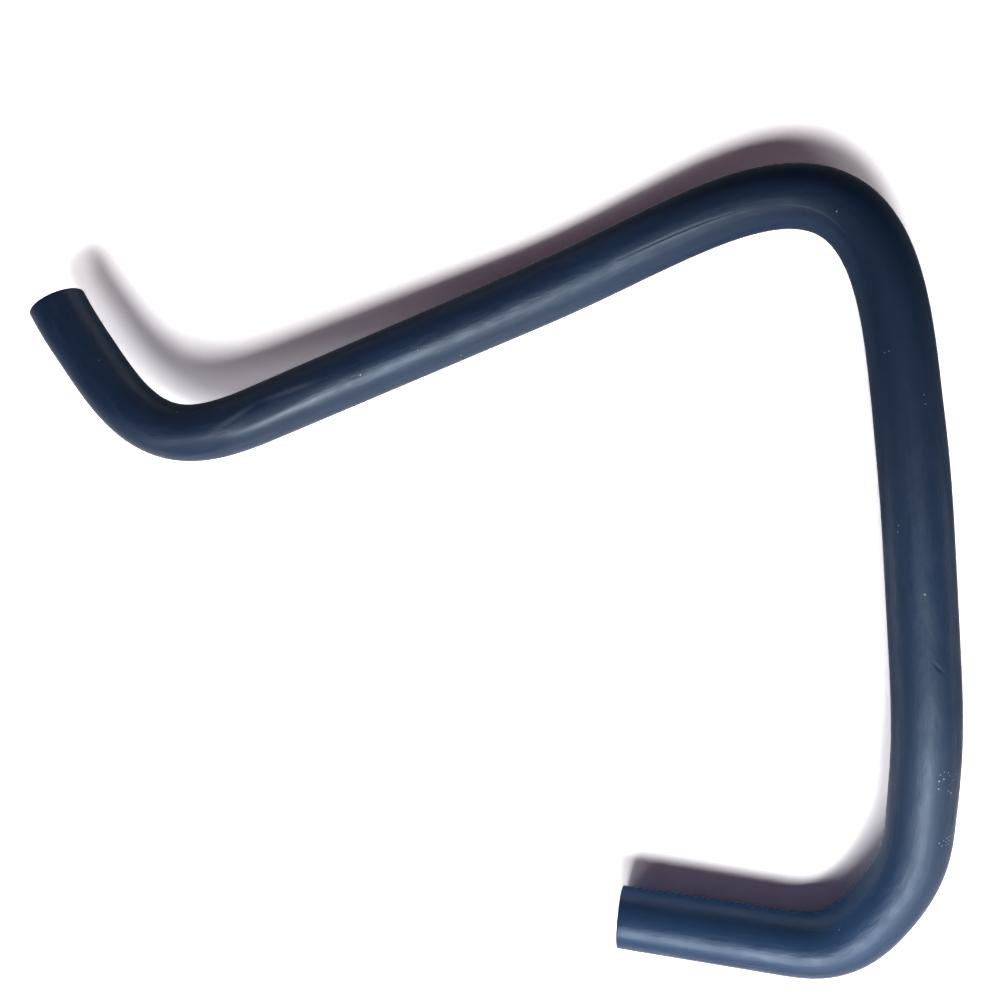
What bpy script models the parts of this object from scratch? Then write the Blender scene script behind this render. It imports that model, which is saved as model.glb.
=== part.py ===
"""Crankcase ventilation hose: one moulded rubber tube with formed bends, open at both ends.

The hose lies on a table, +Z up, with the middle of its box over the origin.
Its centreline runs from the stub's mouth to the lower leg's mouth through corners, each rounded
into a bend. Every corner is placed from the one before it by a leg's length and heading in plan,
and by how far the hose is lifted off the table there.
"""
import math
from collections import namedtuple

import bpy
from mathutils import Vector

# Section of the tube, in metres
BORE_DIAMETER = 0.016
WALL = 0.004
OUTER_DIAMETER = BORE_DIAMETER + 2 * WALL

# Difference from the outer diameter on the open runs, where the tube stands a little fuller, and
# round the bends, where the rubber was drawn over the forming mandrel
OPEN_SWELL = 0.0004
WIDE_BEND_SWELL = -0.0006
TIGHT_BEND_SWELL = 0.0001

# Legs in plan, from corner to corner: length in metres
STUB_MOUTH_LENGTH = 0.011
STUB_LENGTH = 0.0715
LONG_LEG_FALL_LENGTH = 0.183
LONG_LEG_RISE_LENGTH = 0.127
SIDE_LEG_RISE_LENGTH = 0.1255
SIDE_LEG_CREST_LENGTH = 0.092
SIDE_LEG_END_LENGTH = 0.057
LOWER_BEND_LENGTH = 0.0445
LOWER_LEG_LENGTH = 0.085

# Headings of the same legs in plan, in degrees from +X towards +Y
STUB_MOUTH_HEADING = -59.6
STUB_HEADING = -52.8
LONG_LEG_FALL_HEADING = 22.3
LONG_LEG_RISE_HEADING = 23.1
SIDE_LEG_RISE_HEADING = -82.4
SIDE_LEG_CREST_HEADING = -85.7
SIDE_LEG_END_HEADING = -92.7
LOWER_BEND_HEADING = -124.7
LOWER_LEG_HEADING = -183.1

# Lift of the tube off the table at the mouths and corners that don't rest on it
STUB_LIFT = 0.019
LEFT_BEND_LIFT = 0.021
TOP_BEND_LIFT = 0.0085
SIDE_LEG_RISE_LIFT = 0.013
SIDE_LEG_CREST_LIFT = 0.015
LOWER_BEND_LIFT = 0.006
LOWER_MOUTH_LIFT = 0.002
RESTING = 0.0

# Reach of each bend: how far from its corner it starts and ends
STUB_TURN_REACH = 0.010
LEFT_BEND_REACH = 0.055
LONG_LEG_REACH = 0.030
TOP_BEND_REACH = 0.0945
SIDE_LEG_RISE_REACH = 0.030
SIDE_LEG_CREST_REACH = 0.030
LOWER_BEND_REACH = 0.0205
LOWER_LEG_REACH = 0.024

# Fineness of the surface
SIDES = 24
DEGREES_PER_RING = 6.0
FEWEST_BEND_STEPS = 4

RUBBER_COLOUR = (0.020, 0.034, 0.073, 1.0)
RUBBER_ROUGHNESS = 0.42

Corner = namedtuple("Corner", "length heading lift reach swell")

START_SWELL = OPEN_SWELL
CORNERS = (
    Corner(STUB_MOUTH_LENGTH, STUB_MOUTH_HEADING, STUB_LIFT, STUB_TURN_REACH, OPEN_SWELL),
    Corner(STUB_LENGTH, STUB_HEADING, LEFT_BEND_LIFT, LEFT_BEND_REACH, TIGHT_BEND_SWELL),
    Corner(LONG_LEG_FALL_LENGTH, LONG_LEG_FALL_HEADING, RESTING, LONG_LEG_REACH, OPEN_SWELL),
    Corner(LONG_LEG_RISE_LENGTH, LONG_LEG_RISE_HEADING, TOP_BEND_LIFT, TOP_BEND_REACH, WIDE_BEND_SWELL),
    Corner(SIDE_LEG_RISE_LENGTH, SIDE_LEG_RISE_HEADING, SIDE_LEG_RISE_LIFT, SIDE_LEG_RISE_REACH, OPEN_SWELL),
    Corner(SIDE_LEG_CREST_LENGTH, SIDE_LEG_CREST_HEADING, SIDE_LEG_CREST_LIFT, SIDE_LEG_CREST_REACH,
           OPEN_SWELL),
    Corner(SIDE_LEG_END_LENGTH, SIDE_LEG_END_HEADING, LOWER_BEND_LIFT, LOWER_BEND_REACH, TIGHT_BEND_SWELL),
    Corner(LOWER_BEND_LENGTH, LOWER_BEND_HEADING, RESTING, LOWER_LEG_REACH, OPEN_SWELL),
    Corner(LOWER_LEG_LENGTH, LOWER_LEG_HEADING, LOWER_MOUTH_LIFT, 0.0, OPEN_SWELL),
)


def clear_scene():
    """Removes what a new file holds."""
    for item in list(bpy.data.objects):
        bpy.data.objects.remove(item, do_unlink=True)


def corner_points():
    """Places the mouth of the stub and every corner after it."""
    plan = Vector((0.0, 0.0, 0.0))
    points = [Vector((0.0, 0.0, OUTER_DIAMETER / 2 + STUB_LIFT))]
    for corner in CORNERS:
        heading = math.radians(corner.heading)
        plan = plan + corner.length * Vector((math.cos(heading), math.sin(heading), 0.0))
        points.append(plan + Vector((0.0, 0.0, OUTER_DIAMETER / 2 + corner.lift)))
    return points


def shared_reaches(points):
    """Gives each bend its reach, and lets two bends share a leg that is too short for both."""
    reaches = [0.0] + [corner.reach for corner in CORNERS]
    shares = []
    for index in range(len(points) - 1):
        leg = (points[index + 1] - points[index]).length
        wanted = reaches[index] + reaches[index + 1]
        shares.append(min(1.0, leg / wanted) if wanted > 0.0 else 1.0)
    shares = [1.0] + shares + [1.0]
    return [reach * min(shares[index], shares[index + 1]) for index, reach in enumerate(reaches)]


def bend_points(before, corner, after, reach):
    """Rounds a corner with a curve that leaves both legs without a step in its curvature."""
    towards_before = (before - corner).normalized()
    towards_after = (after - corner).normalized()
    start = corner + towards_before * reach
    end = corner + towards_after * reach
    control = [start, start.lerp(corner, 0.5), corner, corner.lerp(end, 0.5), end]
    turn = math.degrees((-towards_before).angle(towards_after))
    steps = max(FEWEST_BEND_STEPS, math.ceil(turn / DEGREES_PER_RING))
    points = []
    for step in range(steps + 1):
        level = control
        while len(level) > 1:
            level = [first.lerp(second, step / steps) for first, second in zip(level, level[1:])]
        points.append(level[0])
    return points


def centreline():
    """Runs through the mouths and the bends, with the tube's outer diameter at each point."""
    corners = corner_points()
    reaches = shared_reaches(corners)
    diameters = [OUTER_DIAMETER + START_SWELL] + [OUTER_DIAMETER + corner.swell for corner in CORNERS]
    path = [(corners[0], diameters[0])]
    for index in range(1, len(corners) - 1):
        bend = bend_points(corners[index - 1], corners[index], corners[index + 1], reaches[index])
        for step, point in enumerate(bend):
            across = step / (len(bend) - 1)
            path.append((point, bend_diameter(diameters, index, across)))
    path.append((corners[-1], diameters[-1]))
    return path


def bend_diameter(diameters, index, across):
    """Eases the diameter from the leg before a bend, through the bend's own, to the leg after it."""
    before = (diameters[index - 1] + diameters[index]) / 2
    after = (diameters[index] + diameters[index + 1]) / 2
    own_share = math.sin(math.pi * across)
    leg_diameter = before + (after - before) * across
    return leg_diameter + (diameters[index] - leg_diameter) * own_share


def rubber():
    """Dark navy rubber with a satin surface."""
    material = bpy.data.materials.new("navy_rubber")
    material.use_nodes = True
    shader = material.node_tree.nodes["Principled BSDF"]
    shader.inputs["Base Color"].default_value = RUBBER_COLOUR
    shader.inputs["Roughness"].default_value = RUBBER_ROUGHNESS
    shader.inputs["Metallic"].default_value = 0.0
    return material


def breather_hose(collection):
    """Sweeps the round section along the centreline and gives it its wall."""
    path = centreline()
    curve = bpy.data.curves.new("breather_hose", "CURVE")
    curve.dimensions = "3D"
    curve.bevel_depth = OUTER_DIAMETER / 2
    curve.bevel_resolution = (SIDES - 4) // 2
    curve.use_fill_caps = False
    spline = curve.splines.new("POLY")
    spline.points.add(len(path) - 1)
    for knot, (place, diameter) in zip(spline.points, path):
        knot.co = (*place, 1.0)
        knot.radius = diameter / OUTER_DIAMETER
    spline.use_smooth = True
    curve.materials.append(rubber())
    hose = bpy.data.objects.new("breather_hose", curve)
    collection.objects.link(hose)
    wall = hose.modifiers.new("wall", "SOLIDIFY")
    wall.thickness = WALL
    wall.offset = -1.0
    wall.use_even_offset = True
    wall.use_rim = True
    return hose


def set_over_origin(hose):
    """Moves the hose so that the middle of its box is over the origin and its lowest point at zero."""
    bpy.context.view_layer.update()
    evaluated = hose.evaluated_get(bpy.context.evaluated_depsgraph_get())
    mesh = evaluated.to_mesh()
    places = [vertex.co.copy() for vertex in mesh.vertices]
    evaluated.to_mesh_clear()
    low = Vector([min(place[axis] for place in places) for axis in range(3)])
    high = Vector([max(place[axis] for place in places) for axis in range(3)])
    hose.location = (-(low.x + high.x) / 2, -(low.y + high.y) / 2, -low.z)
    bpy.context.view_layer.update()


def main():
    clear_scene()
    collection = bpy.data.collections.new("crankcase_ventilation_hose")
    bpy.context.scene.collection.children.link(collection)
    hose = breather_hose(collection)
    set_over_origin(hose)


main()
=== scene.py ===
"""Crankcase ventilation hose: one moulded navy rubber tube with formed bends, lying on a white table."""

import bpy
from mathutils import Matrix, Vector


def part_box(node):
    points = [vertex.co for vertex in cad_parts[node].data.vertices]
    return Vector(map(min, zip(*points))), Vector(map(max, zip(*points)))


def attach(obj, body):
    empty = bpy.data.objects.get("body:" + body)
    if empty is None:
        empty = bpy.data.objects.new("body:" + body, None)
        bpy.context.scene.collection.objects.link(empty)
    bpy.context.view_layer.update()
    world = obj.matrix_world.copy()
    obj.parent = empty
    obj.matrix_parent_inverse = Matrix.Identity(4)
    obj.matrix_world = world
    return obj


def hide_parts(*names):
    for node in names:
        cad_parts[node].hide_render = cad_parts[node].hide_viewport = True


bl_info = {
    "name": "Crankcase Ventilation Hose",
    "version": (1, 0, 0),
    "blender": (4, 5, 0),
    "location": "3D View > Sidebar > Hose",
    "description": "Models a formed rubber breather hose and the table that it lies on",
    "category": "Add Mesh",
}

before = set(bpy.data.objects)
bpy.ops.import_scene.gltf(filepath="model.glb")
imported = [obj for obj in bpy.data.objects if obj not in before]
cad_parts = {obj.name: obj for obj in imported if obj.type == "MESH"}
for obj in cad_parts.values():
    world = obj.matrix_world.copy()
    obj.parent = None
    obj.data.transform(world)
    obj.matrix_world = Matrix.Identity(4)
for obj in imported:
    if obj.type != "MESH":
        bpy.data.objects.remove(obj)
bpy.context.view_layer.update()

import math
from collections import namedtuple

import bmesh
import bpy
from bpy.props import FloatProperty
from bpy.props import FloatVectorProperty
from bpy.props import IntProperty
from bpy.props import PointerProperty
from mathutils import Matrix
from mathutils import Vector

HOSE_NODE = "breather_hose"
SECTION_ATTRIBUTE = "hose_section"

# Material slots of the hose's mesh
OUTSIDE = 0
INSIDE = 1


def length_size(name, default, description):
    """A length in metres for the sidebar."""
    return FloatProperty(name=name, description=description, default=default, unit="LENGTH", precision=5)


def heading_angle(name, default, description):
    """An angle for the sidebar, given here in degrees."""
    return FloatProperty(name=name, description=description, default=math.radians(default), subtype="ANGLE")


def share(name, default, description):
    """A number from nothing to all of something."""
    return FloatProperty(name=name, description=description, default=default, min=0.0, max=1.0)


def colour(name, default, description):
    """A colour for the sidebar."""
    return FloatVectorProperty(
        name=name, description=description, default=default, size=3, min=0.0, max=2.0, subtype="COLOR"
    )


class HoseRoute(bpy.types.PropertyGroup):
    """Legs, headings, lifts and bends of the hose, from the stub's mouth to the lower leg's mouth."""

    stub_mouth_length: length_size("Stub mouth", 0.011, "Leg from the stub's mouth to its first turn")
    stub_length: length_size("Stub", 0.0715, "Leg from the stub's turn to the left bend")
    fall_length: length_size("Long leg, falling", 0.183, "Leg from the left bend down to the table")
    long_rise_length: length_size("Long leg, rising", 0.127, "Leg from the table up to the top bend")
    rise_length: length_size("Side leg, rising", 0.1255, "Leg from the top bend to the crest")
    crest_length: length_size("Side leg, crest", 0.092, "Leg along the highest part of the side leg")
    end_length: length_size("Side leg, end", 0.0542, "Leg from the crest to the lower bend")
    bend_length: length_size("Lower bend", 0.0459, "Leg that slants down through the lower bend")
    lower_length: length_size("Lower leg", 0.0871, "Leg along the table to the lower mouth")

    stub_mouth_heading: heading_angle("Stub mouth heading", -59.6, "Direction of the stub's mouth in plan")
    stub_heading: heading_angle("Stub heading", -52.8, "Direction of the stub in plan")
    fall_heading: heading_angle("Falling heading", 22.3, "Direction of the long leg as it comes down")
    long_rise_heading: heading_angle("Long leg rising heading", 23.1, "Direction of its rising part")
    rise_heading: heading_angle("Rising heading", -82.4, "Direction of the side leg as it rises")
    crest_heading: heading_angle("Crest heading", -85.3, "Direction of the side leg at its highest")
    end_heading: heading_angle("End heading", -91.8, "Direction of the side leg's end")
    bend_heading: heading_angle("Lower bend heading", -122.4, "Direction through the lower bend")
    lower_heading: heading_angle("Lower leg heading", -182.3, "Direction of the lower leg")

    stub_lift: length_size("Stub lift", 0.019, "Height of the stub off the table")
    left_bend_lift: length_size("Left bend lift", 0.021, "Height of the left bend off the table")
    top_bend_lift: length_size("Top bend lift", 0.0085, "Height of the top bend off the table")
    rise_lift: length_size("Rise lift", 0.013, "Height of the side leg after the top bend")
    crest_lift: length_size("Crest lift", 0.015, "Height of the side leg at its crest")
    lower_bend_lift: length_size("Lower bend lift", 0.006, "Height of the lower bend's start")
    lower_mouth_lift: length_size("Lower mouth lift", 0.002, "Height of the lower mouth off the table")

    stub_turn_reach: length_size("Stub turn reach", 0.010, "How far from its corner the stub's turn starts")
    left_bend_reach: length_size("Left bend reach", 0.055, "How far from its corner the left bend starts")
    long_leg_reach: length_size("Long leg reach", 0.030, "How far the long leg's slight turn reaches")
    top_bend_reach: length_size("Top bend reach", 0.0945, "How far from its corner the top bend starts")
    rise_reach: length_size("Rise reach", 0.030, "How far the side leg's rise reaches")
    crest_reach: length_size("Crest reach", 0.030, "How far the side leg's crest reaches")
    lower_bend_reach: length_size("Lower bend reach", 0.0218, "How far from its corner the lower bend starts")
    lower_leg_reach: length_size("Lower leg reach", 0.0242, "How far the lower leg's bend reaches")


class HoseSection(bpy.types.PropertyGroup):
    """Round section of the tube and the fineness of its surface."""

    bore_diameter: length_size("Bore", 0.016, "Diameter of the hollow inside")
    wall: length_size("Wall", 0.004, "Thickness of the rubber")
    open_swell: length_size("Open swell", 0.0004, "How much fuller the tube is on its open runs")
    wide_bend_swell: length_size("Wide bend swell", -0.0006, "How much fuller it is round the wide bend")
    tight_bend_swell: length_size("Tight bend swell", 0.0001, "How much fuller it is round a tight bend")
    mouth_edge: length_size("Mouth edge", 0.0005, "Rounding of the cut edges at both mouths")
    sides: IntProperty(name="Sides", description="Points around the tube", default=96, min=12, max=128)
    ring_step: length_size("Ring step", 0.0025, "Distance between rings along the tube")


class RubberFinish(bpy.types.PropertyGroup):
    """Colours and sheen of the rubber."""

    base: colour("Rubber", (0.0055, 0.0165, 0.0440), "Main colour of the rubber")
    # Faded rubber: the colour of the bloom, and also painted light that lightens the side leg, standing in
    # for light that falls off away from the lamps
    faded: colour("Faded rubber", (0.0090, 0.0330, 0.0810), "Colour where the surface has bloomed")
    # Deep rubber: painted shade on the stub, the top bend and along the creases, and one end of the cut
    # rubber's random grain
    deep: colour("Deep rubber", (0.0030, 0.0105, 0.0310), "Colour of the darker runs")
    # Pale lines and patches: painted highlights along the pale lines of the sheen, and the colour of the pale
    # patches
    pale_mark_and_highlight: colour("Scuffed rubber", (0.0800, 0.0980, 0.1250), "Colour of the pale lines that rubbing left")
    # Bluer rubber: painted light, a lighter and bluer colour on the lower leg, which lies nearest the lamps
    bluer: colour("Bluer rubber", (0.0170, 0.0480, 0.1220), "Colour of the lower leg, where less painted_shade lies")
    film: colour("Film", (0.0160, 0.0290, 0.0570), "Colour of the dull film that shows at a slant")
    # Deep film: painted shade in the film round the top bend
    deep_film: colour("Deep film", (0.0050, 0.0110, 0.0260), "Colour of the film round the top bend")
    # Blue film: painted light in the film on the lower leg's side that faces away from the lamps
    blue_film: colour("Blue film", (0.0300, 0.0780, 0.1800), "Colour of the film on the lower leg")
    cut: colour("Cut rubber", (0.0035, 0.0045, 0.0080), "Colour of the cut mouths and the bore")
    # Pale specks: small lighter dots in the colour, each with a small bump
    pale_speck_tone: colour("Dust", (0.4200, 0.4900, 0.5400), "Colour of pale specks")
    gloss_tint: colour("Gloss tint", (0.72, 0.86, 1.0), "Tint of the sheen")
    gloss_level: share("Gloss level", 0.53, "Strength of the sheen, where a half is plain rubber")
    roughness: share("Roughness", 0.46, "Roughness of the moulded skin")
    bore_roughness: share("Bore roughness", 0.62, "Roughness of the bore and the cut mouths")


class StageSettings(bpy.types.PropertyGroup):
    """Table, light and camera."""

    floor_size: length_size("Table size", 2.2, "Width of the white table")
    floor_colour: colour("Table colour", (0.92, 0.92, 0.92), "Colour of the table in all light")
    floor_seen_colour: colour("Seen table colour", (1.84, 1.82, 1.84), "Colour of the table to the camera")
    light_level: share("Light level", 1.0, "Share of the plain light level that the lamps give")
    lamp_distance: length_size("Lamp distance", 2.4, "How far the lamps hang from the hose")
    sky_colour: colour("Sky colour", (0.040, 0.022, 0.032), "Even light from all round")
    lens: FloatProperty(name="Lens", description="Focal length in millimetres", default=38.12, min=10.0)
    camera_place: FloatVectorProperty(
        name="Camera place", description="Where the camera hangs", default=(0.1296, 0.0723, 0.4272),
        unit="LENGTH",
    )
    camera_roll_x: heading_angle("Camera tilt in X", -5.71, "How far the camera leans towards the lower leg")
    camera_roll_y: heading_angle("Camera tilt in Y", 15.58, "How far the camera leans towards the stub")


class ShaderValue:
    """A number or colour that a shader works out, for Python's operators to build on."""

    def __init__(self, builder, socket):
        self.builder = builder
        self.socket = socket

    def __add__(self, other):
        return self.builder.maths("ADD", self, other)

    def __sub__(self, other):
        return self.builder.maths("SUBTRACT", self, other)

    def __rsub__(self, other):
        return self.builder.maths("SUBTRACT", other, self)

    def __mul__(self, other):
        return self.builder.maths("MULTIPLY", self, other)

    def __pow__(self, other):
        return self.builder.maths("POWER", self, other)

    def __neg__(self):
        return self.builder.maths("MULTIPLY", self, -1.0)


class ShaderBuilder:
    """Adds nodes to one material's tree."""

    def __init__(self, material):
        material.use_nodes = True
        self.tree = material.node_tree
        self.tree.nodes.clear()

    def node(self, kind, settings=None, inputs=None):
        """Adds a node of any kind, sets it up and fills its sockets with values or links."""
        made = self.tree.nodes.new(kind)
        for name, value in (settings or {}).items():
            setattr(made, name, value)
        for key, value in (inputs or {}).items():
            socket = made.inputs[key]
            if isinstance(value, ShaderValue):
                self.tree.links.new(value.socket, socket)
            else:
                socket.default_value = value
        return made

    def value(self, kind, settings=None, inputs=None, output=0):
        """Adds a node and gives one of its outputs as a value."""
        return ShaderValue(self, self.node(kind, settings, inputs).outputs[output])

    def maths(self, operation, first, second=0.0):
        """One step of arithmetic."""
        return self.value("ShaderNodeMath", {"operation": operation}, {0: first, 1: second})

    def ease(self, value, start, end):
        """Goes smoothly from 0 at start to 1 at end."""
        low, high = (start, end) if start < end else (end, start)
        settings = {"interpolation_type": "SMOOTHSTEP"}
        inputs = {"Value": value, "From Min": low, "From Max": high, "To Min": 0.0, "To Max": 1.0}
        eased = self.value("ShaderNodeMapRange", settings, inputs)
        return eased if start < end else 1.0 - eased

    def blend(self, factor, first, second):
        """Mixes two colours."""
        first = first if isinstance(first, ShaderValue) else (*first, 1.0)
        second = second if isinstance(second, ShaderValue) else (*second, 1.0)
        settings = {"data_type": "RGBA"}
        return self.value("ShaderNodeMix", settings, {0: factor, 6: first, 7: second}, output=2)

    def noise(self, coordinates, scale, detail, roughness=0.55):
        """Soft random pattern, as a number around a half."""
        inputs = {"Vector": coordinates, "Scale": scale, "Detail": detail, "Roughness": roughness}
        return self.value("ShaderNodeTexNoise", {"noise_dimensions": "3D"}, inputs)


Corner = namedtuple("Corner", "length heading lift reach swell")
Station = namedtuple("Station", "along place heading diameter")

FINE_BEND_STEPS = 48
SHORTEST_RUN = 0.0005
RESTING = 0.0


def route_corners(route, section):
    """Lists the corners of the route as the sidebar's sizes give them."""
    open_run = section.open_swell
    wide_bend = section.wide_bend_swell
    tight_bend = section.tight_bend_swell
    return [
        Corner(route.stub_mouth_length, route.stub_mouth_heading, route.stub_lift,
               route.stub_turn_reach, open_run),
        Corner(route.stub_length, route.stub_heading, route.left_bend_lift,
               route.left_bend_reach, tight_bend),
        Corner(route.fall_length, route.fall_heading, RESTING, route.long_leg_reach, open_run),
        Corner(route.long_rise_length, route.long_rise_heading, route.top_bend_lift,
               route.top_bend_reach, wide_bend),
        Corner(route.rise_length, route.rise_heading, route.rise_lift, route.rise_reach, open_run),
        Corner(route.crest_length, route.crest_heading, route.crest_lift, route.crest_reach, open_run),
        Corner(route.end_length, route.end_heading, route.lower_bend_lift,
               route.lower_bend_reach, tight_bend),
        Corner(route.bend_length, route.bend_heading, RESTING, route.lower_leg_reach, open_run),
        Corner(route.lower_length, route.lower_heading, route.lower_mouth_lift, 0.0, open_run),
    ]


def corner_points(corners, mouth_lift, outer_diameter):
    """Places the mouth of the stub and every corner after it."""
    plan = Vector((0.0, 0.0, 0.0))
    points = [Vector((0.0, 0.0, outer_diameter / 2 + mouth_lift))]
    for corner in corners:
        step = Vector((math.cos(corner.heading), math.sin(corner.heading), 0.0))
        plan = plan + corner.length * step
        points.append(plan + Vector((0.0, 0.0, outer_diameter / 2 + corner.lift)))
    return points


def shared_reaches(points, corners):
    """Gives each bend its reach, and lets two bends share a leg that is too short for both."""
    reaches = [0.0] + [corner.reach for corner in corners]
    shares = []
    for index in range(len(points) - 1):
        leg = (points[index + 1] - points[index]).length
        wanted = reaches[index] + reaches[index + 1]
        shares.append(min(1.0, leg / wanted) if wanted > 0.0 else 1.0)
    shares = [1.0] + shares + [1.0]
    return [reach * min(shares[index], shares[index + 1]) for index, reach in enumerate(reaches)]


def joined_legs(points, reaches):
    """Finds the legs that two bends share from end to end, with no straight run between them."""
    joined = []
    for index in range(len(points) - 1):
        leg = (points[index + 1] - points[index]).length
        joined.append(reaches[index] > 0.0 and reaches[index] + reaches[index + 1] > leg - SHORTEST_RUN)
    return joined


def bend_points(before, corner, after, reach, joined_before, joined_after):
    """Rounds a corner with a curve that leaves a straight leg without a step in its curvature.

    On a leg that it shares with the next bend the curve keeps turning instead.
    """
    start = corner + (before - corner).normalized() * reach
    end = corner + (after - corner).normalized() * reach
    control = [start, corner, end]
    if not joined_before:
        control.insert(1, start.lerp(corner, 0.5))
    if not joined_after:
        control.insert(-1, corner.lerp(end, 0.5))
    points = []
    for step in range(FINE_BEND_STEPS + 1):
        level = control
        while len(level) > 1:
            level = [first.lerp(second, step / FINE_BEND_STEPS) for first, second in zip(level, level[1:])]
        points.append(level[0])
    return points


def bend_diameter(diameters, index, across):
    """Eases the diameter from the leg before a bend, through the bend's own, to the leg after it."""
    before = (diameters[index - 1] + diameters[index]) / 2
    after = (diameters[index] + diameters[index + 1]) / 2
    own_share = math.sin(math.pi * across)
    leg_diameter = before + (after - before) * across
    return leg_diameter + (diameters[index] - leg_diameter) * own_share


def centreline(route, section):
    """Runs through the mouths and the bends, with the tube's outer diameter at each point."""
    outer_diameter = section.bore_diameter + 2 * section.wall
    corners = route_corners(route, section)
    points = corner_points(corners, route.stub_lift, outer_diameter)
    reaches = shared_reaches(points, corners)
    joined = joined_legs(points, reaches)
    diameters = [outer_diameter + section.open_swell] + [outer_diameter + corner.swell for corner in corners]
    path = [(points[0], diameters[0])]
    for index in range(1, len(points) - 1):
        bend = bend_points(points[index - 1], points[index], points[index + 1], reaches[index],
                           joined[index - 1], joined[index])
        for step, point in enumerate(bend):
            path.append((point, bend_diameter(diameters, index, step / FINE_BEND_STEPS)))
    path.append((points[-1], diameters[-1]))
    return path


def even_stations(path, ring_step):
    """Walks along the centreline in even steps, with the direction of the tube at each."""
    lengths = [0.0]
    for (first, _), (second, _) in zip(path, path[1:]):
        lengths.append(lengths[-1] + (second - first).length)
    count = math.ceil(lengths[-1] / ring_step)
    marks = [lengths[-1] * step / count for step in range(count + 1)]
    samples = []
    piece = 0
    for mark in marks:
        while piece < len(path) - 2 and lengths[piece + 1] < mark:
            piece += 1
        span = lengths[piece + 1] - lengths[piece]
        across = (mark - lengths[piece]) / span if span > 0.0 else 0.0
        place = path[piece][0].lerp(path[piece + 1][0], across)
        diameter = path[piece][1] + (path[piece + 1][1] - path[piece][1]) * across
        samples.append((mark, place, diameter))
    stations = []
    for index, (mark, place, diameter) in enumerate(samples):
        before = samples[max(index - 1, 0)][1]
        after = samples[min(index + 1, len(samples) - 1)][1]
        stations.append(Station(mark, place, (after - before).normalized(), diameter))
    return stations


def section_frame(station, inset):
    """Stands a unit circle across the tube: its X points sideways, its Y up, its Z along the tube."""
    along = station.heading
    sideways = Vector((0.0, 0.0, 1.0)).cross(along).normalized()
    upwards = along.cross(sideways)
    radius = station.diameter / 2 - inset
    turned = Matrix((sideways, upwards, along)).transposed().to_4x4()
    return Matrix.Translation(station.place) @ turned @ Matrix.Diagonal((radius, radius, radius, 1.0))


def note_section(verts, layer, frame_matrix, along):
    """Keeps on each point where it lies around and along the tube."""
    inverse = frame_matrix.inverted()
    for vert in verts:
        local = inverse @ vert.co
        vert[layer] = Vector((local.x, local.y, along))


# Points closer than this are joined, and an edge that folds more than this is the edge of a mouth
WELD_DISTANCE = 0.00001
MOUTH_ANGLE = math.radians(60.0)
MOUTH_ROUNDING_STEPS = 3


def sweep_skin(mesh, layer, stations, wall, sides):
    """Extrudes one circle along the outside, over the far mouth, back through the bore and round again."""
    rings = [(station, 0.0, OUTSIDE) for station in stations]
    rings += [(station, wall, INSIDE) for station in reversed(stations)]
    rings.append((stations[0], 0.0, INSIDE))
    frame_matrix = section_frame(stations[0], 0.0)
    made = bmesh.ops.create_circle(mesh, cap_ends=False, radius=1.0, segments=sides, matrix=frame_matrix)
    ring = made["verts"]
    note_section(ring, layer, frame_matrix, stations[0].along)
    edges = list({edge for vert in ring for edge in vert.link_edges})
    for station, inset, slot in rings[1:]:
        made = bmesh.ops.extrude_edge_only(mesh, edges=edges)["geom"]
        ring = [item for item in made if isinstance(item, bmesh.types.BMVert)]
        edges = [item for item in made if isinstance(item, bmesh.types.BMEdge)]
        for face in made:
            if isinstance(face, bmesh.types.BMFace):
                face.material_index = slot
        next_matrix = section_frame(station, inset)
        bmesh.ops.transform(mesh, matrix=next_matrix @ frame_matrix.inverted(), verts=ring)
        note_section(ring, layer, next_matrix, station.along)
        frame_matrix = next_matrix
    bmesh.ops.remove_doubles(mesh, verts=mesh.verts, dist=WELD_DISTANCE)


def hose_mesh(route, section):
    """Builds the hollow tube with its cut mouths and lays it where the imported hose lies."""
    stations = even_stations(centreline(route, section), section.ring_step)
    mesh = bmesh.new()
    layer = mesh.verts.layers.float_vector.new(SECTION_ATTRIBUTE)
    sweep_skin(mesh, layer, stations, section.wall, section.sides)
    bmesh.ops.recalc_face_normals(mesh, faces=mesh.faces)
    mesh.normal_update()
    sharp = [edge for edge in mesh.edges if edge.calc_face_angle(0.0) > MOUTH_ANGLE]
    bmesh.ops.bevel(
        mesh, geom=sharp, offset=section.mouth_edge, offset_type="OFFSET",
        segments=MOUTH_ROUNDING_STEPS, profile=0.5, affect="EDGES", material=-1, clamp_overlap=True,
    )
    for face in mesh.faces:
        face.smooth = True
    low = Vector([min(vert.co[axis] for vert in mesh.verts) for axis in range(3)])
    high = Vector([max(vert.co[axis] for vert in mesh.verts) for axis in range(3)])
    cad_low, cad_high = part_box(HOSE_NODE)
    shift = (cad_low + cad_high) / 2 - (low + high) / 2
    shift.z = cad_low.z - low.z
    bmesh.ops.translate(mesh, vec=shift, verts=mesh.verts)
    data = bpy.data.meshes.new("moulded_hose")
    mesh.to_mesh(data)
    mesh.free()
    return data


Skin = namedtuple("Skin", "along sideways across place radius")
Mark = namedtuple("Mark", "along around length width slant")
Wear = namedtuple("Wear", "bloom blotches draw_lines grain lines creases patches leaves specks")
Runs = namedtuple("Runs", "faded stub top_bend lower")
Effect = namedtuple("Effect", "tone roughness relief")

# Where the look changes along the hose: metres along it, from nothing to all of the change
# Painted light: over this run the side leg is lightened towards the faded colour, standing in for light that
# falls off along the hose
PAINTED_LIGHT_RUN = (0.40, 0.60)
# Painted shade: the stub and, over the next two runs, the top bend are darkened towards the deep colour,
# standing in for light that falls off away from the lamps
DARK_STUB = (0.16, 0.05)
TOP_BEND_START = (0.24, 0.37)
TOP_BEND_END = (0.50, 0.42)
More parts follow.
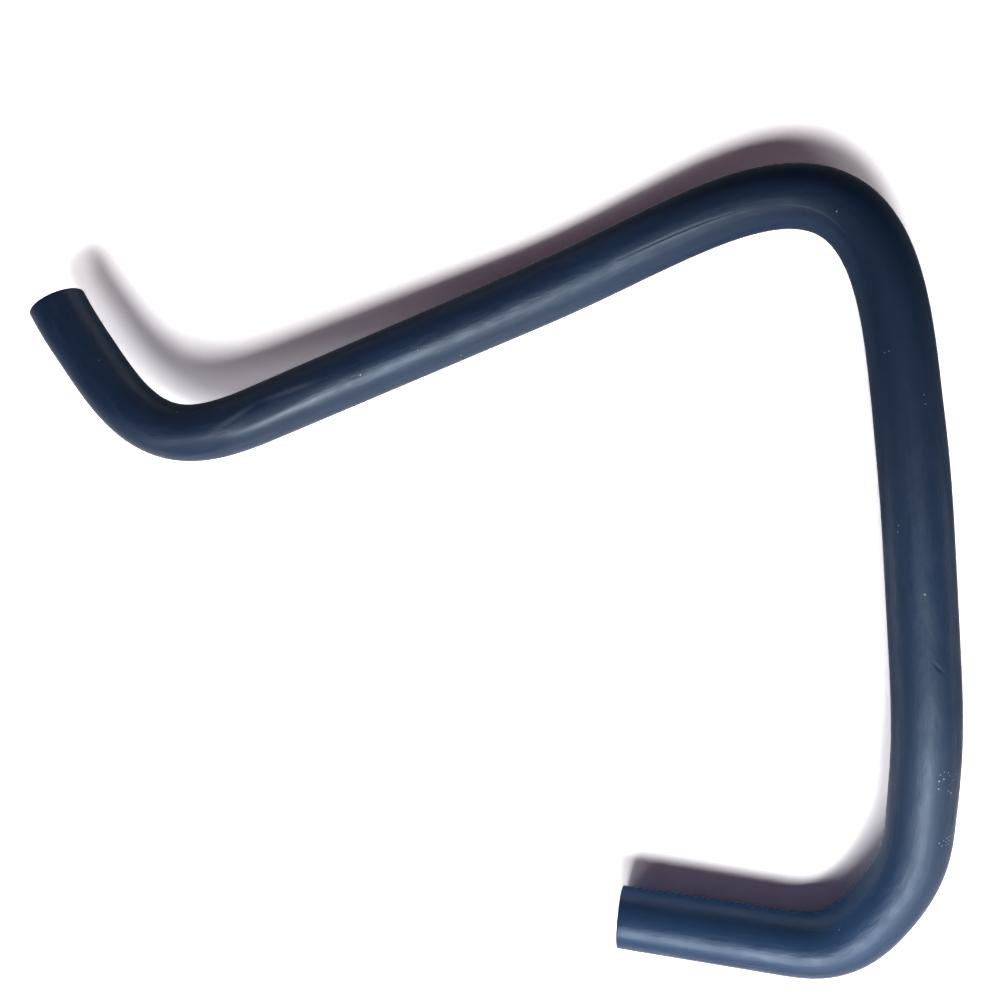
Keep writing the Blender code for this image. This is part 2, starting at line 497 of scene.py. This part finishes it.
# Painted light: over this run the lower leg is turned towards the bluer, lighter colour
LOWER_RUN = (0.585, 0.660)
# Painted shade: over this run the film round the top bend is deepened
DEEP_FILM_START = (0.26, 0.35)
DEEP_FILM_END = (0.47, 0.37)
FIRST_HALF_END = (0.46, 0.38)
SIDE_LEG_START = (0.38, 0.44)
SIDE_LEG_END = (0.60, 0.54)
LOWER_LEG_START = (0.60, 0.66)

# Where the film changes across the hose: -1 is its right side and 1 its left, seen from above along it
ONE_SIDE = (0.12, 0.65)
BOTH_SIDES = (0.20, 0.75)
OFF_RIGHT_RIM = (-0.86, -0.60)
RIGHT_SIDE = (0.40, -0.20)

# Where the film thickens as the skin turns away from the eye, and where the sheen comes back
FILM_SLANT = (0.12, 0.62)
RIM_SLANT = (0.68, 0.95)

# Shares of the film, from each thing that thickens it
FILM_AT_SLANT = 0.55
FILM_ON_SIDES = 0.45
FILM_ON_SIDE_LEG = 0.60
FILM_ON_LEAVES = 0.45
FILM_ON_TOP_BEND = 0.62
THICKEST_FILM = 0.90
FILM_LOST_AT_RIM = 0.40

# What each pattern and run does to the skin: share of its colour, change of roughness and relief
BLOOM_EFFECT = Effect(0.22, 0.08, 0.0)
BLOTCH_EFFECT = Effect(0.18, 0.30, 0.75)
DRAW_LINE_EFFECT = Effect(0.0, 0.12, 0.15)
GRAIN_EFFECT = Effect(0.0, 0.0, 0.05)
# Pale lines: painted highlights in the colour, over small ridges in the relief
LINE_EFFECT = Effect(0.48, -0.05, 0.10)
# Creases: hollows in the relief, with painted shade in the colour along them
CREASE_EFFECT = Effect(0.70, 0.0, -0.30)
PATCH_EFFECT = Effect(0.13, -0.04, 0.0)
LEAF_EFFECT = Effect(0.0, 0.14, 0.0)
SPECK_EFFECT = Effect(0.85, 0.0, 0.20)
# The runs below paint light and shade into the colour: the side leg and the lower leg lighter, the stub and
# the top bend darker
PAINTED_LIGHT_EFFECT = Effect(0.65, 0.04, 0.0)
DARK_EFFECT = Effect(0.75, 0.08, 0.0)
LOWER_EFFECT = Effect(0.80, -0.07, 0.0)

# Levels of the bloom and the blotches at which their colour starts to show and shows in full
BLOOM_LEVELS = (0.40, 0.72)
BLOTCH_LEVELS = (0.45, 0.80)
MIDDLE_LEVEL = 0.5

# Fineness of the patterns, per metre, and for two of them across and along the hose
BLOOM_SCALE = 24.0
GRAIN_SCALE = 2600.0
CUT_GRAIN_SCALE = 900.0
BLOTCH_SCALES = (260.0, 90.0)
DRAW_LINE_SCALES = (700.0, 14.0)

# Specks: cells per metre, sizes and soft edge as shares of a cell, and chances that a cell holds one
SPECK_CELLS = 600.0
SPECK_SIZE = 0.13
SPECK_SPREAD = 0.12
SPECK_EDGE = 0.10
CROWD_CHANCE = 0.70
SPARSE_CHANCE = 0.0015

# How far from a mark's middle, as a share of its size, it still shows in full
PATCH_EDGE = 0.4
CROWD_EDGE = 0.3

RUBBER_IOR = 1.5
RELIEF_STRENGTH = 0.9
RELIEF_DEPTH = 0.0004
CUT_RELIEF_STRENGTH = 0.3
CUT_RELIEF_DEPTH = 0.0002

# Marks on the skin: metres along the hose, degrees around it from the top, half length and half
# width in metres, and slant in degrees from the line of the hose
# Pale lines: small ridges in the relief that carry painted highlights in their colour, along the split sheen
# by the left bend and along the sheen further on
HIGHLIGHT_LINES = (
    Mark(0.114, 4.0, 0.0160, 0.0018, 10.0),
    Mark(0.139, 10.0, 0.0200, 0.0017, -3.0),
    Mark(0.136, -28.0, 0.0340, 0.0020, 1.0),
    Mark(0.300, -12.0, 0.0320, 0.0010, -1.5),
    Mark(0.312, -21.0, 0.0360, 0.0012, -1.0),
    Mark(0.362, -29.0, 0.0240, 0.0008, -4.0),
    Mark(0.624, -84.0, 0.0150, 0.0006, 11.0),
    Mark(0.668, -52.0, 0.0300, 0.0006, -6.0),
    Mark(0.704, 50.0, 0.0360, 0.0010, 2.0),
)
# Creases and a nick: hollows in the relief with painted shade in their colour
CREASES = (
    Mark(0.306, -16.5, 0.0300, 0.0006, -1.5),
    Mark(0.536, 17.0, 0.0048, 0.0011, 40.0),
    Mark(0.700, 34.0, 0.0280, 0.0007, 3.0),
    Mark(0.692, 62.0, 0.0018, 0.0007, 20.0),
)
PATCHES = (
    Mark(0.518, 7.0, 0.0150, 0.0034, 16.0),
    Mark(0.548, 14.0, 0.0150, 0.0036, -4.0),
    Mark(0.590, 0.0, 0.0200, 0.0036, 0.0),
    Mark(0.160, -27.0, 0.0500, 0.0034, 0.0),
)
LEAVES = (
    Mark(0.134, -9.0, 0.0280, 0.0036, 4.0),
    Mark(0.096, -34.0, 0.0200, 0.0046, 0.0),
)
SPECKLED = (
    Mark(0.5755, 33.0, 0.0060, 0.0060, 0.0),
    Mark(0.5985, 42.0, 0.0035, 0.0065, 0.0),
    Mark(0.4860, -33.0, 0.0026, 0.0026, 0.0),
)


def read_skin(build, radius):
    """Reads where a point lies on the unrolled tube: metres along it and across it."""
    section = build.node("ShaderNodeAttribute", {"attribute_name": SECTION_ATTRIBUTE})
    parts = build.node("ShaderNodeSeparateXYZ", None, {0: ShaderValue(build, section.outputs["Vector"])})
    sideways, upwards, along = [ShaderValue(build, output) for output in parts.outputs]
    across = build.maths("ARCTAN2", sideways, upwards) * radius
    place = build.value(
        "ShaderNodeCombineXYZ", None, {0: sideways * radius, 1: upwards * radius, 2: along}
    )
    return Skin(along, sideways, across, place, radius)


def mark_share(build, skin, mark, edge):
    """1 in the middle of a mark, easing to 0 at its edge."""
    turned = math.radians(mark.slant)
    ahead = skin.along - mark.along
    aside = skin.across - math.radians(mark.around) * skin.radius
    line = (ahead * math.cos(turned) + aside * math.sin(turned)) * (1.0 / mark.length)
    side = (aside * math.cos(turned) - ahead * math.sin(turned)) * (1.0 / mark.width)
    away = (line * line + side * side) ** 0.5
    return build.ease(away, 1.0, edge)


def all_marks(build, skin, marks, edge=0.0):
    """Joins several marks into one pattern."""
    total = mark_share(build, skin, marks[0], edge)
    for mark in marks[1:]:
        total = build.maths("MAXIMUM", total, mark_share(build, skin, mark, edge))
    return total


def stretched(build, skin, sideways, lengthways):
    """Coordinates that draw a pattern out along the tube."""
    squeeze = (sideways, sideways, lengthways)
    return build.value("ShaderNodeVectorMath", {"operation": "MULTIPLY"}, {0: skin.place, 1: squeeze})


def pale_specks(build, skin):
    """Scatters small pale specks, close together in a few places and sparse elsewhere."""
    flat = build.value("ShaderNodeCombineXYZ", None, {0: skin.across, 1: skin.along})
    cells = build.node(
        "ShaderNodeTexVoronoi", {"voronoi_dimensions": "2D"}, {"Vector": flat, "Scale": SPECK_CELLS}
    )
    chance = build.node("ShaderNodeSeparateColor", None, {0: ShaderValue(build, cells.outputs["Color"])})
    drawn = ShaderValue(build, chance.outputs[0])
    size = ShaderValue(build, chance.outputs[1]) * SPECK_SPREAD + SPECK_SIZE
    crowd = all_marks(build, skin, SPECKLED, CROWD_EDGE) * CROWD_CHANCE + SPARSE_CHANCE
    present = build.maths("LESS_THAN", drawn, crowd)
    near = size - ShaderValue(build, cells.outputs["Distance"])
    return build.ease(near, 0.0, SPECK_EDGE) * present


def read_wear(build, skin):
    """Bloom, grain and marks of the skin, each as a number: pale lines with painted highlights, creases with
    painted shade, pale patches, leaves and pale specks.
    """
    place = build.value("ShaderNodeTexCoord", output=3)
    return Wear(
        bloom=build.noise(place, BLOOM_SCALE, detail=4.0),
        blotches=build.noise(stretched(build, skin, *BLOTCH_SCALES), 1.0, detail=4.0, roughness=0.6),
        draw_lines=build.noise(stretched(build, skin, *DRAW_LINE_SCALES), 1.0, detail=2.0),
        grain=build.noise(place, GRAIN_SCALE, detail=2.0),
        lines=all_marks(build, skin, HIGHLIGHT_LINES),
        creases=all_marks(build, skin, CREASES),
        patches=all_marks(build, skin, PATCHES, PATCH_EDGE),
        leaves=all_marks(build, skin, LEAVES, PATCH_EDGE),
        specks=pale_specks(build, skin),
    )


def read_runs(build, skin):
    """Runs of the hose that differ in look, each as a share; the stub and the top bend carry painted shade,
    and the side leg and the lower leg painted light, for light that falls off away from the lamps.
    """
    return Runs(
        faded=build.ease(skin.along, *PAINTED_LIGHT_RUN),
        stub=build.ease(skin.along, *DARK_STUB),
        top_bend=build.ease(skin.along, *TOP_BEND_START) * build.ease(skin.along, *TOP_BEND_END),
        lower=build.ease(skin.along, *LOWER_RUN),
    )


def rubber_tone(build, finish, wear, runs):
    """Colour of the skin, from the main colour to the specks that lie on top, with painted light on the side
    leg and the lower leg, painted shade on the stub, the top bend and along the creases, and painted
    highlights along the pale lines.
    """
    dark = build.maths("MAXIMUM", runs.stub, runs.top_bend)
    # Painted highlights along the pale lines, and the pale patches
    pale_marks_and_highlights = wear.lines * LINE_EFFECT.tone + wear.patches * PATCH_EFFECT.tone
    # Painted light on the side leg
    tone = build.blend(runs.faded * PAINTED_LIGHT_EFFECT.tone, finish.base, finish.faded)
    # Painted light on the lower leg
    tone = build.blend(runs.lower * LOWER_EFFECT.tone, tone, finish.bluer)
    # Painted shade on the stub and the top bend
    tone = build.blend(dark * DARK_EFFECT.tone, tone, finish.deep)
    tone = build.blend(build.ease(wear.bloom, *BLOOM_LEVELS) * BLOOM_EFFECT.tone, tone, finish.faded)
    tone = build.blend(build.ease(wear.blotches, *BLOTCH_LEVELS) * BLOTCH_EFFECT.tone, tone, finish.faded)
    tone = build.blend(pale_marks_and_highlights, tone, finish.pale_mark_and_highlight)
    # Painted shade along the creases
    tone = build.blend(wear.creases * CREASE_EFFECT.tone, tone, finish.deep)
    return build.blend(wear.specks * SPECK_EFFECT.tone, tone, finish.pale_speck_tone)


def rubber_roughness(finish, wear, runs):
    """Roughness of the skin, which goes up and down with its patterns and runs."""
    roughness = (wear.bloom - MIDDLE_LEVEL) * BLOOM_EFFECT.roughness
    roughness = roughness + (wear.blotches - MIDDLE_LEVEL) * BLOTCH_EFFECT.roughness
    roughness = roughness + (wear.draw_lines - MIDDLE_LEVEL) * DRAW_LINE_EFFECT.roughness
    roughness = roughness + finish.roughness
    roughness = roughness + wear.patches * PATCH_EFFECT.roughness + wear.lines * LINE_EFFECT.roughness
    roughness = roughness + wear.leaves * LEAF_EFFECT.roughness + runs.top_bend * DARK_EFFECT.roughness
    return roughness + runs.faded * PAINTED_LIGHT_EFFECT.roughness + runs.lower * LOWER_EFFECT.roughness


def rubber_relief(build, wear):
    """Small hills and hollows of the skin."""
    height = wear.grain * GRAIN_EFFECT.relief + wear.blotches * BLOTCH_EFFECT.relief
    height = height + wear.draw_lines * DRAW_LINE_EFFECT.relief + wear.lines * LINE_EFFECT.relief
    height = height + wear.creases * CREASE_EFFECT.relief + wear.specks * SPECK_EFFECT.relief
    relief = {"Strength": RELIEF_STRENGTH, "Distance": RELIEF_DEPTH, "Height": height}
    return build.value("ShaderNodeBump", None, relief)


def dull_sides(build, skin):
    """Shares of the dull film that lies thicker along some sides of the hose."""
    first_half = build.ease(skin.along, *FIRST_HALF_END)
    side_leg = build.ease(skin.along, *SIDE_LEG_START) * build.ease(skin.along, *SIDE_LEG_END)
    lower_leg = build.ease(skin.along, *LOWER_LEG_START)
    total = build.ease(skin.sideways, *ONE_SIDE) * first_half
    total = total + build.ease(-skin.sideways, *ONE_SIDE) * lower_leg
    aside = build.maths("ABSOLUTE", skin.sideways)
    return total + build.ease(aside, *BOTH_SIDES) * side_leg * FILM_ON_SIDE_LEG


def film_colour(build, finish, skin, runs):
    """Colour of the dull film, with painted shade that deepens it round the top bend and painted light that
    makes it bluer and lighter on the lower leg's side away from the lamps.
    """
    deep_run = build.ease(skin.along, *DEEP_FILM_START) * build.ease(skin.along, *DEEP_FILM_END)
    off_rim = build.ease(skin.sideways, *OFF_RIGHT_RIM)
    right_side = build.ease(skin.sideways, *RIGHT_SIDE)
    tone = build.blend(deep_run * off_rim, finish.film, finish.deep_film)
    return build.blend(runs.lower * right_side, tone, finish.blue_film)


def film_thickness(build, skin, wear, runs):
    """Share of the dull film over the sheen."""
    aslant = build.node("ShaderNodeLayerWeight", None, {"Blend": 0.5})
    slant = ShaderValue(build, aslant.outputs["Facing"])
    total = build.ease(slant, *FILM_SLANT) * FILM_AT_SLANT + dull_sides(build, skin) * FILM_ON_SIDES
    total = total + wear.leaves * FILM_ON_LEAVES + runs.top_bend * FILM_ON_TOP_BEND
    lost = build.ease(slant, *RIM_SLANT) * FILM_LOST_AT_RIM
    return build.maths("MINIMUM", total, THICKEST_FILM) - lost


def moulded_rubber(finish, radius):
    """Satin navy rubber as it comes off the mandrel, with bloom, a fine grain and marks, and with light and
    shade painted into its colour along the hose.
    """
    material = bpy.data.materials.new("moulded_rubber")
    build = ShaderBuilder(material)
    skin = read_skin(build, radius)
    wear = read_wear(build, skin)
    runs = read_runs(build, skin)
    satin = build.value(
        "ShaderNodeBsdfPrincipled", None,
        {"Base Color": rubber_tone(build, finish, wear, runs),
         "Roughness": rubber_roughness(finish, wear, runs),
         "Normal": rubber_relief(build, wear), "IOR": RUBBER_IOR,
         "Specular IOR Level": finish.gloss_level, "Specular Tint": (*finish.gloss_tint, 1.0)},
    )
    film = build.value("ShaderNodeBsdfDiffuse", None, {"Color": film_colour(build, finish, skin, runs)})
    share_of_film = film_thickness(build, skin, wear, runs)
    surface = build.value("ShaderNodeMixShader", None, {0: share_of_film, 1: satin, 2: film})
    build.node("ShaderNodeOutputMaterial", None, {"Surface": surface})
    return material


def cut_rubber(finish):
    """Duller rubber of the bore and the cut mouths."""
    material = bpy.data.materials.new("cut_rubber")
    build = ShaderBuilder(material)
    place = build.value("ShaderNodeTexCoord", output=3)
    grain = build.noise(place, CUT_GRAIN_SCALE, detail=3.0)
    tone = build.blend(grain, finish.cut, finish.deep)
    relief = {"Strength": CUT_RELIEF_STRENGTH, "Distance": CUT_RELIEF_DEPTH, "Height": grain}
    bump = build.value("ShaderNodeBump", None, relief)
    shader = build.value(
        "ShaderNodeBsdfPrincipled", None,
        {"Base Color": tone, "Roughness": finish.bore_roughness, "Normal": bump},
    )
    build.node("ShaderNodeOutputMaterial", None, {"Surface": shader})
    return material


TABLE_RAYS = ("Is Camera Ray", "Is Glossy Ray", "Is Transmission Ray")
SKY_RAYS = ("Is Camera Ray", "Is Transmission Ray")


def seen_rays(build, names):
    """1 for the named kinds of ray, which show a pale background, and 0 for light that bounces on."""
    rays = build.node("ShaderNodeLightPath")
    seen = ShaderValue(build, rays.outputs[names[0]])
    for name in names[1:]:
        seen = build.maths("MAXIMUM", seen, ShaderValue(build, rays.outputs[name]))
    return seen


def white_table(stage):
    """Pale table that keeps the hose's shadow and shows as white."""
    material = bpy.data.materials.new("white_table")
    build = ShaderBuilder(material)
    tone = build.blend(seen_rays(build, TABLE_RAYS), stage.floor_colour, stage.floor_seen_colour)
    shader = build.value("ShaderNodeBsdfDiffuse", None, {"Color": tone})
    build.node("ShaderNodeOutputMaterial", None, {"Surface": shader})
    return material


Lamp = namedtuple("Lamp", "name height_angle round_angle width power")

# Soft lamps round the table's near side: degrees above the table, degrees round it from +X towards
# +Y, width in metres and power in watts
LAMPS = (
    Lamp("window_lamp", 54.5, 288.0, 0.7, 45.0),
    Lamp("second_window_lamp", 49.0, 254.0, 0.7, 22.0),
    Lamp("right_fill_lamp", 30.0, 315.0, 0.9, 13.0),
    Lamp("near_fill_lamp", 22.0, 287.0, 1.0, 10.0),
    Lamp("left_fill_lamp", 30.0, 225.0, 1.0, 6.0),
    Lamp("low_right_lamp", 13.0, 324.0, 0.9, 2.0),
    Lamp("low_left_lamp", 13.0, 144.0, 0.9, 1.4),
    Lamp("far_lamp", 13.0, 72.0, 0.9, 0.4),
)


SKY_SEEN_COLOUR = (1.0, 1.0, 1.0)

# Side of the camera's square sensor in millimetres, and how near and how far it sees in metres
SENSOR_SIZE = 36.0
NEAR_CLIP = 0.01
FAR_CLIP = 50.0


def hang_lamp(lamp, stage):
    """Hangs one soft square lamp that faces the hose."""
    above = math.radians(lamp.height_angle)
    around = math.radians(lamp.round_angle)
    level = Vector((math.cos(around), math.sin(around), 0.0))
    outwards = level * math.cos(above) + Vector((0.0, 0.0, math.sin(above)))
    light = bpy.data.lights.new(lamp.name, "AREA")
    light.shape = "SQUARE"
    light.size = lamp.width
    light.energy = lamp.power * stage.light_level
    hung = bpy.data.objects.new(lamp.name, light)
    hung.location = outwards * stage.lamp_distance
    hung.rotation_euler = (-outwards).to_track_quat("-Z", "Y").to_euler()
    bpy.context.scene.collection.objects.link(hung)


class HOSE_OT_moulded_hose(bpy.types.Operator):
    """Makes the moulded rubber hose."""

    bl_idname = "hose.moulded_hose"
    bl_label = "Moulded hose"

    def execute(self, context):
        scene = context.scene
        data = hose_mesh(scene.hose_route, scene.hose_section)
        section = scene.hose_section
        data.materials.append(moulded_rubber(scene.hose_rubber, section.bore_diameter / 2 + section.wall))
        data.materials.append(cut_rubber(scene.hose_rubber))
        hose = bpy.data.objects.new("moulded_hose", data)
        scene.collection.objects.link(hose)
        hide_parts(HOSE_NODE)
        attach(hose, "root")
        return {"FINISHED"}


class HOSE_OT_stage(bpy.types.Operator):
    """Makes the white table, the light and the camera."""

    bl_idname = "hose.stage"
    bl_label = "Table, light and camera"

    def execute(self, context):
        scene = context.scene
        stage = scene.hose_stage
        mesh = bmesh.new()
        bmesh.ops.create_grid(mesh, x_segments=1, y_segments=1, size=stage.floor_size / 2)
        data = bpy.data.meshes.new("white_table")
        mesh.to_mesh(data)
        mesh.free()
        data.materials.append(white_table(stage))
        table = bpy.data.objects.new("white_table", data)
        scene.collection.objects.link(table)

        for lamp in LAMPS:
            hang_lamp(lamp, stage)

        world = bpy.data.worlds.new("studio")
        scene.world = world
        world.use_nodes = True
        build = ShaderBuilder(world)
        tone = build.blend(seen_rays(build, SKY_RAYS), stage.sky_colour, SKY_SEEN_COLOUR)
        sky = build.value("ShaderNodeBackground", None, {"Color": tone, "Strength": 1.0})
        build.node("ShaderNodeOutputWorld", None, {"Surface": sky})

        camera_data = bpy.data.cameras.new("camera")
        camera_data.sensor_width = SENSOR_SIZE
        camera_data.sensor_height = SENSOR_SIZE
        camera_data.sensor_fit = "HORIZONTAL"
        camera_data.lens = stage.lens
        camera_data.clip_start = NEAR_CLIP
        camera_data.clip_end = FAR_CLIP
        camera = bpy.data.objects.new("camera", camera_data)
        camera.location = stage.camera_place
        camera.rotation_euler = (stage.camera_roll_x, stage.camera_roll_y, 0.0)
        scene.collection.objects.link(camera)
        scene.camera = camera
        scene.view_settings.view_transform = "Standard"
        return {"FINISHED"}


class HOSE_PT_sidebar(bpy.types.Panel):
    """Lists the hose's sizes and colours and the steps that make it."""

    bl_idname = "HOSE_PT_sidebar"
    bl_label = "Crankcase Ventilation Hose"
    bl_space_type = "VIEW_3D"
    bl_region_type = "UI"
    bl_category = "Hose"

    def draw(self, context):
        layout = self.layout
        scene = context.scene
        for title, group in (
            ("Route", scene.hose_route),
            ("Section", scene.hose_section),
            ("Rubber", scene.hose_rubber),
            ("Stage", scene.hose_stage),
        ):
            box = layout.box()
            box.label(text=title)
            for name in group.__annotations__:
                box.prop(group, name)
        layout.operator(HOSE_OT_moulded_hose.bl_idname)
        layout.operator(HOSE_OT_stage.bl_idname)


GROUPS = {
    "hose_route": HoseRoute,
    "hose_section": HoseSection,
    "hose_rubber": RubberFinish,
    "hose_stage": StageSettings,
}
CLASSES = (*GROUPS.values(), HOSE_OT_moulded_hose, HOSE_OT_stage, HOSE_PT_sidebar)


def register():
    for item in CLASSES:
        bpy.utils.register_class(item)
    for name, group in GROUPS.items():
        setattr(bpy.types.Scene, name, PointerProperty(type=group))


def unregister():
    for name in GROUPS:
        delattr(bpy.types.Scene, name)
    for item in reversed(CLASSES):
        bpy.utils.unregister_class(item)


def main():
    register()
    bpy.ops.hose.moulded_hose()
    bpy.ops.hose.stage()


if __name__ == "__main__":
    main()
